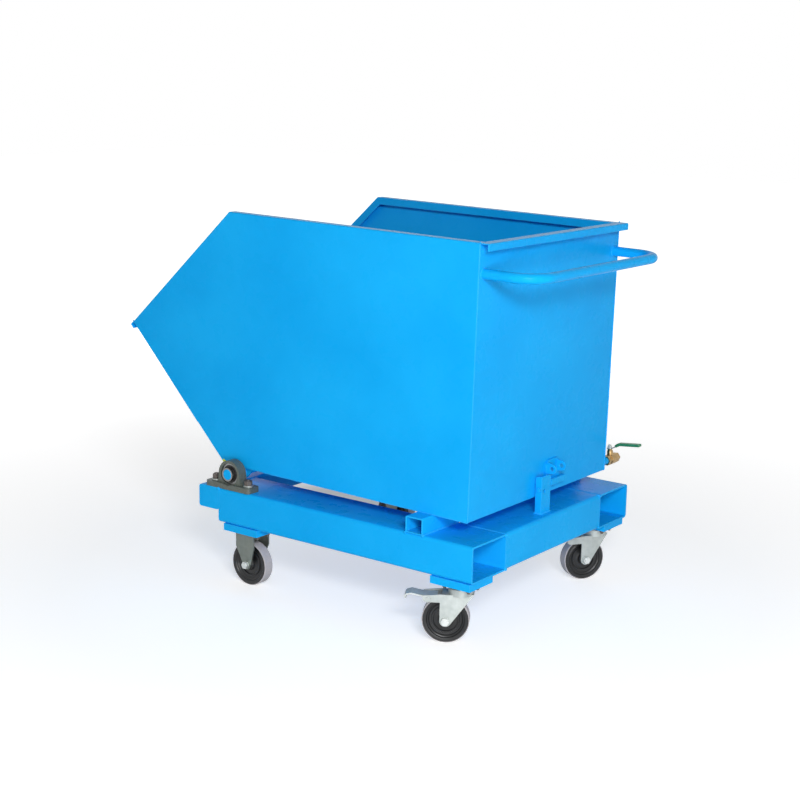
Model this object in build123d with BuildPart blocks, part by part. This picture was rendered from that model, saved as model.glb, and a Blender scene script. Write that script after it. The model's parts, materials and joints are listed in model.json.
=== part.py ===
from build123d import *
import os
from math import atan, cos, radians, sin, tan

# Swarf cart: a tipping hopper on a wheeled chassis with fork pockets. Millimetres.
# Origin on the floor under the middle of the chassis, +X to the push handle, +Z up.
# Left is -Y and right is +Y, as seen by a person at the handle.

# Fits and gaps
fit_gap = 0.02
running_gap = 0.05
rest_gap = 0.3

# Chassis
chassis_edge_margin = 1
chassis_rear_margin = 51.5
pocket_width = 160
pocket_height = 100
pocket_wall = 5
pocket_corner = 10
front_beam_depth = 75
front_beam_height = 65
front_beam_wall = 4
front_beam_corner = 8
end_plate_thickness = 4
rest_tube_depth = 55
rest_tube_height = 45
rest_tube_wall = 4
rest_tube_corner = 5
rest_tube_overlap = 4
latch_post_height = 103
latch_post_y = -33.5
latch_post_inset = 26.5
latch_post_thickness = 6
latch_post_round = 9
latch_rear_leg = 45.5
latch_near_leg = 19.5
latch_hole_radius = 6.5
latch_hole_height = 62.5
latch_hole_from_near = 14.2
stub_radius = 5
stub_length = 8
stub_height = 68
stub_from_rear = 6

# Caster pads and casters
pad_length = 124
pad_width = 106
pad_thickness = 20
rear_pad_inset = 5
front_pad_inset = 20
right_pad_inset = 10
caster_height = 160
caster_plate_length = 92
caster_plate_width = 70
caster_plate_thickness = 6
caster_plate_corner = 6
plate_hole_pitch_x = 74
plate_hole_pitch_y = 42
plate_bolt_radius = 4
plate_bolt_flats = 13
plate_bolt_nut = 6.5
plate_bolt_tail = 4.5
plate_bolt_grip = 14
wheel_diameter = 125
wheel_width = 32
tread_thickness = 2.5
tread_round = 2
rim_depth = 12
web_half_thickness = 8
web_rib_radius = 33
web_rib_height = 3
web_rib_width = 5
web_rib_slope = 1
hub_radius = 16
hub_length = 42
hub_side_gap = 2
sleeve_radius = 8
axle_radius = 6
axle_flats = 19
axle_head = 7.5
axle_nut = 10
axle_tail = 2.5
fork_leg_thickness = 4
rigid_leg_top_width = 66
rigid_leg_straight = 38
rigid_leg_spread = 7
rigid_leg_bend = 12
rigid_leg_end_radius = 14

# Rear swivel casters
caster_trail = 37.5
left_caster_yaw = 31
right_caster_yaw = 57
crown_top = 134
crown_thickness = 4
crown_end = 48
yoke_lead = 35
yoke_taper_start = 20
yoke_taper_angle = 10
yoke_end_radius = 15
wing_end = 98
wing_height = 22
wing_drop = 5
wing_round = 10
wing_inner_round = 6
king_pin_radius = 6
king_pin_head_radius = 11
king_pin_head = 3.6
head_gap = 0.4
cup_radius = 33
cup_wall = 4
cup_height = 15
cup_floor = 2
race_ring_inner = 16
race_ring_gap = 1
race_ball_radius = 4
race_circle_radius = 22
race_ball_count = 14

# Brake on the left rear caster
brake_pin_along = 82
brake_pin_height = 120
brake_pin_radius = 4
brake_pin_head_radius = 7
brake_pin_head = 3
brake_hub_radius = 8
brake_width = 38
pedal_width = 44
pedal_thickness = 4
pedal_root = 60
pedal_neck = 100
pedal_crest = 128
pedal_end = 146
pedal_height = 125
pedal_rise = 5
pedal_drop = 10
pedal_bend = 6
brake_travel = 10
shoe_clearance = 0.3
shoe_thickness = 6
shoe_length = 10
shoe_angle = 48

# Pivot shaft and pillow blocks
bearing_axis_height = 42.9
bearing_side_gap = 1
bearing_front_offset = 31.2
shaft_radius = 15
shaft_overhang = 0.8
shaft_chamfer = 1.5
housing_base_length = 165
housing_base_width = 48
housing_base_thickness = 15
housing_base_corner = 10
housing_neck_length = 84
housing_body_radius = 39
housing_body_width = 29
housing_bolt_pitch = 121
housing_bolt_radius = 7
housing_bolt_hole_radius = 8.5
housing_bolt_flats = 21
housing_bolt_head = 8.8
housing_nut = 12.8
housing_bolt_tail = 3
washer_radius = 14
washer_thickness = 4
outer_ring_radius = 31
outer_ring_inner = 25.5
outer_ring_width = 19
inner_ring_outer = 19.3
inner_ring_inward = 15.9
inner_ring_outward = 22.2
ball_radius = 4.76
ball_pitch_radius = 22.4
ball_count = 9
seal_thickness = 1.5
seal_inset = 0.6
seal_gap = 0.4
nipple_angle = 45
nipple_shank_radius = 3
nipple_shank_length = 6
nipple_flats = 8
nipple_flange = 4
nipple_neck_radius = 2.4
nipple_neck = 4
nipple_head_radius = 3.2

# Hopper, measured along the floor from its lower front corner and square to the floor
sheet = 3
hopper_width = 700
floor_length = 842
hopper_height = 718
floor_front_overhang = 54.7
mouth_top_offset = 8
lip_forward = 368
lip_height = 362.5
rim_reach = 28
rim_drop = 19
lip_reach = 15
lip_turn = 16
side_fold = 27
side_return = 22
bend_radius = 4
saddle_thickness = 10
saddle_half_length = 44
saddle_radius = 24
saddle_slot = 16
saddle_inset = 20

# Push handle
handle_radius = 13.5
handle_wall = 2.5
handle_inset = 24
handle_reach = 152
handle_below_rim = 79
handle_bend = 75

# Latch pieces on the back panel
latch_plate_width = 70
latch_plate_height = 78
latch_plate_thickness = 6
latch_plate_left = 17
latch_plate_bottom = 16
latch_plate_round = 18
ear_thickness = 6
ear_reach = 17
ear_end_radius = 13
ear_root_height = 34
ear_hole_height = 73
ear_first_y = 17
ear_spacing = 50
latch_bar_length = 72
latch_bar_height = 17
latch_bar_depth = 13
latch_bar_left = 27
latch_bar_bottom = 25

# Drain valve, on the right side panel
drain_from_back = 16
drain_above_floor = 17
nipple_pipe_radius = 10.65
nipple_pipe_wall = 2.8
nipple_pipe_length = 46
drain_hole_radius = 7.5
valve_lean = 6
valve_socket_depth = 12
valve_inlet_flats = 27
valve_inlet_length = 17
valve_body_radius = 15.5
valve_chamber_radius = 12
valve_chamber_length = 24
valve_ball_radius = 10.5
valve_port_radius = 6.5
valve_cap_spigot = 6
valve_cap_flats = 26
valve_cap_length = 16
valve_thread_radius = 10.4
valve_thread_length = 12
valve_neck_radius = 9
valve_neck_height = 25
stem_radius = 4
stem_tang_width = 3
stem_tang_depth = 3
gland_flats = 14
gland_height = 6
lever_thickness = 2.5
lever_root_radius = 9
lever_width = 13
lever_bend_start = 10
lever_bend_end = 33
lever_bend = 6
lever_rise = 13
lever_length = 97
lever_nut_flats = 13
lever_nut_height = 6
stem_tail = 3.5
sleeve_height = 8.5
sleeve_width = 19
sleeve_tip = 4
sleeve_round = 3

# Places worked out from the sizes above
sides = {"left": -1, "right": 1}
half_width = hopper_width / 2
saddle_y = half_width - saddle_inset
handle_y = half_width - handle_inset
bearing_centre_y = half_width + bearing_side_gap + housing_base_width / 2
chassis_width = 2 * (bearing_centre_y + housing_base_width / 2 + chassis_edge_margin)
pocket_length = bearing_front_offset - floor_front_overhang + floor_length + chassis_rear_margin
chassis_length = pocket_length + front_beam_depth
chassis_rear_x = chassis_length / 2
pocket_front_x = chassis_rear_x - pocket_length
chassis_front_x = -chassis_length / 2
pocket_bottom = caster_height + pad_thickness
pocket_top = pocket_bottom + pocket_height
pocket_y = (chassis_width - pocket_width) / 2
rest_tube_x = chassis_rear_x - pocket_width + rest_tube_overlap - rest_tube_depth / 2
shaft_x = pocket_front_x + bearing_front_offset
shaft_z = pocket_top + bearing_axis_height
wheel_radius = wheel_diameter / 2
core_radius = wheel_radius - tread_thickness
leg_inner = hub_length / 2 + hub_side_gap
leg_outer = leg_inner + fork_leg_thickness
plate_bottom = caster_height - caster_plate_thickness
crown_bottom = crown_top - crown_thickness

# Bearing planes: origin on the shaft axis, local x along the cart, local y up, normal to the left
bearings = {
    side: Plane(origin=(shaft_x, sign * bearing_centre_y, shaft_z), x_dir=(1, 0, 0), z_dir=(0, -1, 0))
    for side, sign in sides.items()
}
bolt_places = [
    (shaft_x + end * housing_bolt_pitch / 2, sign * bearing_centre_y)
    for sign in sides.values()
    for end in (-1, 1)
]

# Pad centres, front and rear
pad_y = {
    "left": pad_width / 2 - chassis_width / 2,
    "right": chassis_width / 2 - right_pad_inset - pad_width / 2,
}
front_pad_x = pocket_front_x + front_pad_inset + pad_length / 2
rear_pad_x = chassis_rear_x - rear_pad_inset - pad_length / 2
pad_places = [(x, y) for x in (front_pad_x, rear_pad_x) for y in pad_y.values()]
plate_bolts = [
    (x + i * plate_hole_pitch_x / 2, y + j * plate_hole_pitch_y / 2)
    for x, y in pad_places
    for i in (-1, 1)
    for j in (-1, 1)
]


def caster_planes(x, y, yaw, trail):
    """Side plane through a caster (local x along the trail, local y up) and plane across its wheel."""
    along = Vector(-cos(radians(yaw)), -sin(radians(yaw)), 0)
    across = Vector(sin(radians(yaw)), -cos(radians(yaw)), 0)
    side_plane = Plane(origin=(x, y, 0), x_dir=along, z_dir=-across)
    wheel_centre = Vector(x, y, wheel_radius) + along * trail
    wheel_plane = Plane(origin=wheel_centre, x_dir=along, z_dir=across)
    return side_plane, wheel_plane


caster_yaw = {"left": left_caster_yaw, "right": right_caster_yaw}
front_casters = {side: caster_planes(front_pad_x, pad_y[side], 0, 0) for side in sides}
rear_casters = {
    side: caster_planes(rear_pad_x, pad_y[side], caster_yaw[side], caster_trail)
    for side in sides
}
rear_axes = [Plane(origin=(rear_pad_x, y, 0)) for y in pad_y.values()]

# Hopper plane: it rests on the shaft and on the rear top edge of the rest tube, so its floor leans a little
rest_contact_x = rest_tube_x + rest_tube_depth / 2 - rest_tube_corner
floor_fall = bearing_axis_height + shaft_radius + fit_gap - rest_tube_height - rest_gap
hopper_lean = atan(floor_fall / (rest_contact_x - shaft_x))
along_floor = Vector(cos(hopper_lean), 0, -sin(hopper_lean))
off_floor = Vector(sin(hopper_lean), 0, cos(hopper_lean))
shaft_centre = Vector(shaft_x, 0, shaft_z)
hopper_corner = shaft_centre + off_floor * (shaft_radius + fit_gap) - along_floor * floor_front_overhang
hopper_plane = Plane(origin=hopper_corner, x_dir=along_floor, z_dir=(0, -1, 0))

corners = [
    Vector(0, 0),
    Vector(floor_length, 0),
    Vector(floor_length, hopper_height),
    Vector(mouth_top_offset, hopper_height),
    Vector(-lip_forward, lip_height),
]


def inset(floor, back, top, mouth, front):
    """Corners of the hopper's side outline with each edge moved inwards by its own distance."""
    lines = []
    for index, distance in enumerate((floor, back, top, mouth, front)):
        start = corners[index]
        edge = (corners[(index + 1) % len(corners)] - start).normalized()
        lines.append((start + Vector(-edge.Y, edge.X) * distance, edge))
    moved = []
    for index, (point, edge) in enumerate(lines):
        before, edge_before = lines[index - 1]
        gap = point - before
        reach = (gap.X * edge.Y - gap.Y * edge.X) / (edge_before.X * edge.Y - edge_before.Y * edge.X)
        moved.append(before + edge_before * reach)
    return moved


def hopper_place(along, up, y):
    """Point in the cart's frame from a place along and above the hopper floor."""
    return hopper_plane.from_local_coords((along, up, -y))


def save(piece, name):
    piece.part.label = name
    export_step(piece.part, f"parts/{name}.step")


os.makedirs("parts", exist_ok=True)

# Fork pockets, with bolt holes for the pillow blocks in their top walls
for side, sign in sides.items():
    with BuildPart() as fork_pocket:
        with BuildSketch(Plane.YZ.offset(pocket_front_x)):
            with Locations((sign * pocket_y, pocket_bottom + pocket_height / 2)):
                RectangleRounded(pocket_width, pocket_height, pocket_corner)
                RectangleRounded(
                    pocket_width - 2 * pocket_wall,
                    pocket_height - 2 * pocket_wall,
                    pocket_corner - pocket_wall,
                    mode=Mode.SUBTRACT,
                )
        extrude(amount=pocket_length)
        with BuildSketch(Plane.XY.offset(pocket_top)):
            with Locations((shaft_x + housing_bolt_pitch / 2, sign * bearing_centre_y)):
                Circle(housing_bolt_radius + running_gap)
        extrude(amount=-pocket_wall, mode=Mode.SUBTRACT)
    save(fork_pocket, f"fork_pocket_{side}")

# Front cross beam, top flush with the pockets, and the plates that close its ends
front_beam_x = chassis_front_x + front_beam_depth / 2
front_beam_z = pocket_top - front_beam_height / 2
with BuildPart() as front_beam:
    with BuildSketch(Plane.XZ):
        with Locations((front_beam_x, front_beam_z)):
            RectangleRounded(front_beam_depth, front_beam_height, front_beam_corner)
            RectangleRounded(
                front_beam_depth - 2 * front_beam_wall,
                front_beam_height - 2 * front_beam_wall,
                front_beam_corner - front_beam_wall,
                mode=Mode.SUBTRACT,
            )
    extrude(amount=chassis_width / 2 - end_plate_thickness, both=True)
    with BuildSketch(Plane.XY.offset(pocket_top)):
        with Locations([(shaft_x - housing_bolt_pitch / 2, s * bearing_centre_y) for s in sides.values()]):
            Circle(housing_bolt_radius + running_gap)
    extrude(amount=-front_beam_wall, mode=Mode.SUBTRACT)
save(front_beam, "front_beam")

with BuildPart() as front_beam_end_plates:
    for offset in (-chassis_width / 2, chassis_width / 2 - end_plate_thickness):
        with BuildSketch(Plane.XZ.offset(offset)):
            with Locations((front_beam_x, front_beam_z)):
                RectangleRounded(front_beam_depth, front_beam_height, front_beam_corner)
        extrude(amount=end_plate_thickness)
save(front_beam_end_plates, "front_beam_end_plates")

# Rear cross beam between the pockets, of the same tube
rear_beam_half_length = chassis_width / 2 - pocket_width
with BuildPart() as rear_beam:
    with BuildSketch(Plane.XZ):
        with Locations((chassis_rear_x - pocket_width / 2, pocket_bottom + pocket_height / 2)):
            RectangleRounded(pocket_width, pocket_height, pocket_corner)
            RectangleRounded(
                pocket_width - 2 * pocket_wall,
                pocket_height - 2 * pocket_wall,
                pocket_corner - pocket_wall,
                mode=Mode.SUBTRACT,
            )
    extrude(amount=rear_beam_half_length, both=True)
save(rear_beam, "rear_beam")

# Rest tube across the top of the pockets
with BuildPart() as hopper_rest_tube:
    with BuildSketch(Plane.XZ):
        with Locations((rest_tube_x, pocket_top + rest_tube_height / 2)):
            RectangleRounded(rest_tube_depth, rest_tube_height, rest_tube_corner)
            RectangleRounded(
                rest_tube_depth - 2 * rest_tube_wall,
                rest_tube_height - 2 * rest_tube_wall,
                rest_tube_corner - rest_tube_wall,
                mode=Mode.SUBTRACT,
            )
    extrude(amount=chassis_width / 2, both=True)
save(hopper_rest_tube, "hopper_rest_tube")

# Latch post: a length of angle on the rear beam, with a hole in its rear leg and a stub on its near leg
latch_rear_x = chassis_rear_x - latch_post_inset
latch_hole_y = latch_post_y + latch_hole_from_near
with BuildPart() as latch_post:
    for depth, width in ((latch_post_thickness, latch_rear_leg), (latch_near_leg, latch_post_thickness)):
        with BuildSketch(Plane.XY.offset(pocket_top)):
            with Locations((latch_rear_x, latch_post_y)):
                Rectangle(depth, width, align=(Align.MAX, Align.MIN))
        extrude(amount=latch_post_height)
    fillet(latch_post.edges().filter_by(Axis.X).group_by(Axis.Z)[-1].sort_by(Axis.Y)[-1], latch_post_round)
    fillet(latch_post.edges().filter_by(Axis.Y).group_by(Axis.Z)[-1].sort_by(Axis.X)[0], latch_post_round)
    with BuildSketch(Plane.YZ.offset(latch_rear_x)):
        with Locations((latch_hole_y, pocket_top + latch_hole_height)):
            Circle(latch_hole_radius)
    extrude(amount=-latch_post_thickness, mode=Mode.SUBTRACT)
    with BuildSketch(Plane.XZ.offset(-latch_post_y)):
        with Locations((latch_rear_x - stub_from_rear, pocket_top + stub_height)):
            Circle(stub_radius)
    extrude(amount=stub_length)
save(latch_post, "latch_post")

# Caster pads, with blind holes for the caster bolts
with BuildPart() as caster_pads:
    with BuildSketch(Plane.XY.offset(caster_height)):
        with Locations(pad_places):
            Rectangle(pad_length, pad_width)
    extrude(amount=pad_thickness)
    with BuildSketch(Plane.XY.offset(caster_height)):
        with Locations(plate_bolts):
            Circle(plate_bolt_radius + running_gap)
    extrude(amount=plate_bolt_grip, mode=Mode.SUBTRACT)
save(caster_pads, "caster_pads")

# Caster bolts: studs set in the pads, each with a nut under the caster plate
with BuildPart() as caster_bolts:
    with BuildSketch(Plane.XY.offset(plate_bottom - plate_bolt_nut)):
        with Locations(plate_bolts):
            RegularPolygon(plate_bolt_flats / 2, 6, major_radius=False)
    extrude(amount=plate_bolt_nut)
    with BuildSketch(Plane.XY.offset(plate_bottom - plate_bolt_nut - plate_bolt_tail)):
        with Locations(plate_bolts):
            Circle(plate_bolt_radius)
    extrude(amount=plate_bolt_tail + plate_bolt_nut + caster_plate_thickness + plate_bolt_grip - running_gap)
save(caster_bolts, "caster_bolts")

# Pillow-block housings
for side, bearing in bearings.items():
    with BuildPart() as bearing_housing:
        with BuildSketch(bearing):
            with Locations((0, housing_base_thickness / 2 - bearing_axis_height)):
                Rectangle(housing_base_length, housing_base_thickness)
        extrude(amount=housing_base_width / 2, both=True)
        fillet(bearing_housing.edges().filter_by(Axis.Z), housing_base_corner)
        with BuildSketch(bearing):
            Circle(housing_body_radius)
            with Locations((0, housing_base_thickness / 2 - bearing_axis_height)):
                Rectangle(housing_neck_length, housing_base_thickness)
            make_hull()
        extrude(amount=housing_body_width / 2, both=True)
        with BuildSketch(bearing):
            Circle(outer_ring_radius + fit_gap)
        extrude(amount=housing_base_width, both=True, mode=Mode.SUBTRACT)
        with BuildSketch(Plane.XY.offset(pocket_top)):
            with Locations([place for place in bolt_places if place[1] * sides[side] > 0]):
                Circle(housing_bolt_hole_radius)
        extrude(amount=housing_base_thickness, mode=Mode.SUBTRACT)
        nipple_axis = Vector(-sin(radians(nipple_angle)), 0, cos(radians(nipple_angle)))
        with BuildSketch(Plane(origin=bearing.origin + nipple_axis * outer_ring_radius, z_dir=nipple_axis)):
            Circle(nipple_shank_radius + running_gap)
        extrude(amount=housing_body_radius, mode=Mode.SUBTRACT)
    save(bearing_housing, f"bearing_housing_{side}")

# Bearing outer rings, grooved for the balls
with BuildPart() as bearing_outer_rings:
    for bearing in bearings.values():
        with BuildSketch(bearing):
            Circle(outer_ring_radius)
            Circle(outer_ring_inner, mode=Mode.SUBTRACT)
        extrude(amount=outer_ring_width / 2, both=True)
        with Locations(bearing):
            Torus(ball_pitch_radius, ball_radius + running_gap, mode=Mode.SUBTRACT)
save(bearing_outer_rings, "bearing_outer_rings")

# Bearing inner rings, longer on the outer side, seated on the shaft
with BuildPart() as bearing_inner_rings:
    for side, bearing in bearings.items():
        outward = -sides[side]
        with BuildSketch(bearing.offset(-outward * inner_ring_inward)):
            Circle(inner_ring_outer)
            Circle(shaft_radius + fit_gap, mode=Mode.SUBTRACT)
        extrude(amount=outward * (inner_ring_inward + inner_ring_outward))
        with Locations(bearing):
            Torus(ball_pitch_radius, ball_radius + running_gap, mode=Mode.SUBTRACT)
save(bearing_inner_rings, "bearing_inner_rings")

with BuildPart() as bearing_balls:
    for bearing in bearings.values():
        with Locations(bearing):
            with PolarLocations(ball_pitch_radius, ball_count):
                Sphere(ball_radius)
save(bearing_balls, "bearing_balls")

# Seals, held in the outer rings and clear of the inner rings
seal_start = outer_ring_width / 2 - seal_inset - seal_thickness
with BuildPart() as bearing_seals:
    for bearing in bearings.values():
        for offset in (seal_start, -seal_start - seal_thickness):
            with BuildSketch(bearing.offset(offset)):
                Circle(outer_ring_inner - fit_gap)
                Circle(inner_ring_outer + seal_gap, mode=Mode.SUBTRACT)
            extrude(amount=seal_thickness)
save(bearing_seals, "bearing_seals")

# Grease nipples, on top of the housings and turned to the front
with BuildPart() as grease_nipples:
    for bearing in bearings.values():
        nipple_foot = bearing.origin + nipple_axis * (housing_body_radius + rest_gap)
        nipple_seat = Plane(origin=nipple_foot, z_dir=nipple_axis)
        with BuildSketch(nipple_seat):
            Circle(nipple_shank_radius)
        extrude(amount=-nipple_shank_length)
        with BuildSketch(nipple_seat):
            RegularPolygon(nipple_flats / 2, 6, major_radius=False)
        extrude(amount=nipple_flange)
        with BuildSketch(nipple_seat.offset(nipple_flange)):
            Circle(nipple_neck_radius)
        extrude(amount=nipple_neck)
        with Locations(nipple_seat.offset(nipple_flange + nipple_neck)):
            Sphere(nipple_head_radius)
save(grease_nipples, "grease_nipples")

# Housing bolts with their heads inside the tubes, and the washers and nuts on top
washer_bottom = pocket_top + housing_base_thickness
washer_top = washer_bottom + washer_thickness
head_tops = [pocket_top - front_beam_wall, pocket_top - pocket_wall] * len(sides)
with BuildPart() as bearing_bolts:
    for place, head_top in zip(bolt_places, head_tops):
        with BuildSketch(Plane.XY.offset(head_top)):
            with Locations(place):
                RegularPolygon(housing_bolt_flats / 2, 6, major_radius=False)
        extrude(amount=-housing_bolt_head)
        with BuildSketch(Plane.XY.offset(head_top)):
            with Locations(place):
                Circle(housing_bolt_radius)
        extrude(amount=washer_top - head_top + housing_nut + housing_bolt_tail)
save(bearing_bolts, "bearing_bolts")

with BuildPart() as bearing_washers:
    with BuildSketch(Plane.XY.offset(washer_bottom)):
        with Locations(bolt_places):
            Circle(washer_radius)
            Circle(housing_bolt_radius + running_gap, mode=Mode.SUBTRACT)
    extrude(amount=washer_thickness)
save(bearing_washers, "bearing_washers")

with BuildPart() as bearing_nuts:
    with BuildSketch(Plane.XY.offset(washer_top)):
        with Locations(bolt_places):
            RegularPolygon(housing_bolt_flats / 2, 6, major_radius=False)
            Circle(housing_bolt_radius + running_gap, mode=Mode.SUBTRACT)
    extrude(amount=housing_nut)
save(bearing_nuts, "bearing_nuts")

# Pivot shaft, just past the bearings at both ends
shaft_half_length = bearing_centre_y + inner_ring_outward + shaft_overhang
with BuildPart() as pivot_shaft:
    with BuildSketch(Plane(origin=shaft_centre, x_dir=(1, 0, 0), z_dir=(0, 1, 0))):
        Circle(shaft_radius)
    extrude(amount=shaft_half_length, both=True)
    chamfer(pivot_shaft.edges().filter_by(GeomType.CIRCLE), shaft_chamfer)
save(pivot_shaft, "pivot_shaft")

# Saddle plates under the hopper floor that hold the shaft
with BuildPart() as shaft_saddles:
    for y in (-saddle_y, 0, saddle_y):
        with BuildSketch(hopper_plane.offset(-y - saddle_thickness / 2)):
            with BuildLine():
                Line(
                    (floor_front_overhang - saddle_half_length, 0),
                    (floor_front_overhang + saddle_half_length, 0),
                )
            with Locations((floor_front_overhang, -shaft_radius - fit_gap)):
                Circle(saddle_radius)
            make_hull()
            with Locations((floor_front_overhang, -shaft_radius - fit_gap)):
                Circle(shaft_radius + fit_gap, mode=Mode.SUBTRACT)
                Rectangle(saddle_slot, 2 * saddle_radius, align=(Align.CENTER, Align.MIN), mode=Mode.SUBTRACT)
            with Locations((floor_front_overhang, 0)):
                Rectangle(
                    2 * saddle_half_length,
                    saddle_radius,
                    align=(Align.CENTER, Align.MIN),
                    mode=Mode.SUBTRACT,
                )
        extrude(amount=saddle_thickness)
save(shaft_saddles, "shaft_saddles")

# Hopper sides: flat sheet with the open edges folded inwards and returned
outline = inset(0, 0, 0, 0, 0)
open_edge = inset(sheet, sheet, 0, 0, sheet)
under_fold = inset(sheet, sheet, sheet, sheet, sheet)
return_edge = inset(sheet, sheet, side_return, side_return, sheet)
drain_along = floor_length - drain_from_back
for side, sign in sides.items():
    outer_face = hopper_plane.offset(-sign * half_width)
    with BuildPart() as hopper_side:
        with BuildSketch(outer_face):
            Polygon(*[(p.X, p.Y) for p in outline], align=None)
        extrude(amount=sign * sheet)
        for depth, start, thickness in (
            (under_fold, 0, side_fold),
            (return_edge, side_fold - sheet, sheet),
        ):
            strip = open_edge[2:] + depth[:1:-1]
            with BuildSketch(outer_face.offset(sign * start)):
                Polygon(*[(p.X, p.Y) for p in strip], align=None)
            extrude(amount=sign * thickness)
        for start, end in (outline[2:4], outline[3:5]):
            middle = (start + end) / 2
            fold = hopper_place(middle.X, middle.Y, sign * half_width)
            fillet(hopper_side.edges().sort_by_distance(fold)[0], bend_radius)
        if side == "right":
            with BuildSketch(outer_face):
                with Locations((drain_along, drain_above_floor)):
                    Circle(drain_hole_radius)
            extrude(amount=sign * sheet, mode=Mode.SUBTRACT)
    save(hopper_side, f"hopper_side_{side}")

# Floor, front panel and back panel fit between the sides and meet at mitred corners
sheet_half_width = half_width - sheet
with BuildPart() as hopper_floor:
    with BuildSketch(hopper_plane):
        Polygon(*[(p.X, p.Y) for p in outline[:2] + open_edge[1::-1]], align=None)
    extrude(amount=sheet_half_width, both=True)
save(hopper_floor, "hopper_floor")

lip = outline[4]
lip_out = (outline[4] - outline[3]).normalized()
lip_down = (outline[0] - outline[4]).normalized()
lip_fold = [
    lip,
    lip + lip_out * lip_reach,
    lip + lip_out * lip_reach + lip_down * lip_turn,
    lip + lip_out * (lip_reach - sheet) + lip_down * lip_turn,
    lip + lip_out * (lip_reach - sheet) + lip_down * sheet,
    lip + lip_down * sheet,
]
with BuildPart() as hopper_front_panel:
    with BuildSketch(hopper_plane):
        Polygon(*[(p.X, p.Y) for p in (outline[4], outline[0], open_edge[0], open_edge[4])], align=None)
    extrude(amount=sheet_half_width, both=True)
    with BuildSketch(hopper_plane):
        Polygon(*[(p.X, p.Y) for p in lip_fold], align=None)
    extrude(amount=half_width, both=True)
    lip_bend = hopper_place(lip_fold[1].X, lip_fold[1].Y, 0)
    fillet(hopper_front_panel.edges().sort_by_distance(lip_bend)[0], bend_radius)
save(hopper_front_panel, "hopper_front_panel")

rim_end = floor_length + rim_reach
rim_fold = [
    (floor_length, hopper_height),
    (rim_end, hopper_height),
    (rim_end, hopper_height - rim_drop),
    (rim_end - sheet, hopper_height - rim_drop),
    (rim_end - sheet, hopper_height - sheet),
    (floor_length, hopper_height - sheet),
]
with BuildPart() as hopper_back_panel:
    with BuildSketch(hopper_plane):
        Polygon(*[(p.X, p.Y) for p in (outline[1], outline[2], open_edge[2], open_edge[1])], align=None)
    extrude(amount=sheet_half_width, both=True)
    with BuildSketch(hopper_plane):
        Polygon(*rim_fold, align=None)
    extrude(amount=half_width, both=True)
    rim_bend = hopper_place(rim_end, hopper_height, 0)
    fillet(hopper_back_panel.edges().sort_by_distance(rim_bend)[0], bend_radius)
save(hopper_back_panel, "hopper_back_panel")

# Push handle: one bent tube, its ends on the back panel
handle_origin = hopper_place(floor_length, hopper_height - handle_below_rim, 0)
with BuildPart() as push_handle:
    with BuildLine(Plane(origin=handle_origin, x_dir=along_floor, z_dir=off_floor)) as handle_path:
        FilletPolyline(
            (0, -handle_y),
            (handle_reach, -handle_y),
            (handle_reach, handle_y),
            (0, handle_y),
            radius=handle_bend,
        )
    with BuildSketch(Plane(origin=handle_path.line @ 0, z_dir=handle_path.line % 0)):
        Circle(handle_radius)
        Circle(handle_radius - handle_wall, mode=Mode.SUBTRACT)
    sweep()
save(push_handle, "push_handle")

# Latch plate, ears and lower bar on the back panel
back_face = Plane(origin=hopper_place(floor_length, 0, 0), x_dir=(0, 1, 0), z_dir=along_floor)
with BuildPart() as latch_plate:
    with BuildSketch(back_face) as plate_outline:
        with Locations((latch_plate_left, latch_plate_bottom)):
            Rectangle(latch_plate_width, latch_plate_height, align=(Align.MIN, Align.MIN))
        fillet(plate_outline.vertices().sort_by(Axis.Y)[-2:], latch_plate_round)
    extrude(amount=latch_plate_thickness)
save(latch_plate, "latch_plate")

ear_root = floor_length + latch_plate_thickness
with BuildPart() as latch_ears:
    for y in (ear_first_y, ear_first_y + ear_spacing):
        with BuildSketch(hopper_plane.offset(-y - ear_thickness)):
            with BuildLine():
                Line(
                    (ear_root, ear_hole_height - ear_root_height / 2),
                    (ear_root, ear_hole_height + ear_root_height / 2),
                )
            with Locations((ear_root + ear_reach, ear_hole_height)):
                Circle(ear_end_radius)
            make_hull()
            with Locations((ear_root + ear_reach, ear_hole_height)):
                Circle(latch_hole_radius, mode=Mode.SUBTRACT)
        extrude(amount=ear_thickness)
save(latch_ears, "latch_ears")

with BuildPart() as latch_bar:
    with BuildSketch(back_face.offset(latch_plate_thickness)):
        with Locations((latch_bar_left, latch_bar_bottom)):
            Rectangle(latch_bar_length, latch_bar_height, align=(Align.MIN, Align.MIN))
    extrude(amount=latch_bar_depth)
save(latch_bar, "latch_bar")

# Drain valve planes: flow along +Y, stem leaning to the front, lever to the rear when shut
drain_start = hopper_place(drain_along, drain_above_floor, half_width)
lever_dir = Vector(cos(radians(valve_lean)), 0, sin(radians(valve_lean)))
stem_dir = Vector(-sin(radians(valve_lean)), 0, cos(radians(valve_lean)))
flow_plane = Plane(origin=drain_start, x_dir=lever_dir, z_dir=(0, 1, 0))
valve_start = nipple_pipe_length - valve_socket_depth
chamber_start = valve_start + valve_inlet_length
chamber_end = chamber_start + valve_chamber_length
cap_start = chamber_end + valve_cap_spigot
ball_offset = (chamber_start + chamber_end) / 2
ball_centre = drain_start + Vector(0, ball_offset, 0)
stem_plane = Plane(origin=ball_centre, x_dir=lever_dir, z_dir=stem_dir)
lever_plane = Plane(origin=ball_centre, x_dir=lever_dir, z_dir=(0, -1, 0))

with BuildPart() as drain_nipple:
    with BuildSketch(flow_plane):
        Circle(nipple_pipe_radius)
        Circle(nipple_pipe_radius - nipple_pipe_wall, mode=Mode.SUBTRACT)
    extrude(amount=nipple_pipe_length)
save(drain_nipple, "drain_nipple")

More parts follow.
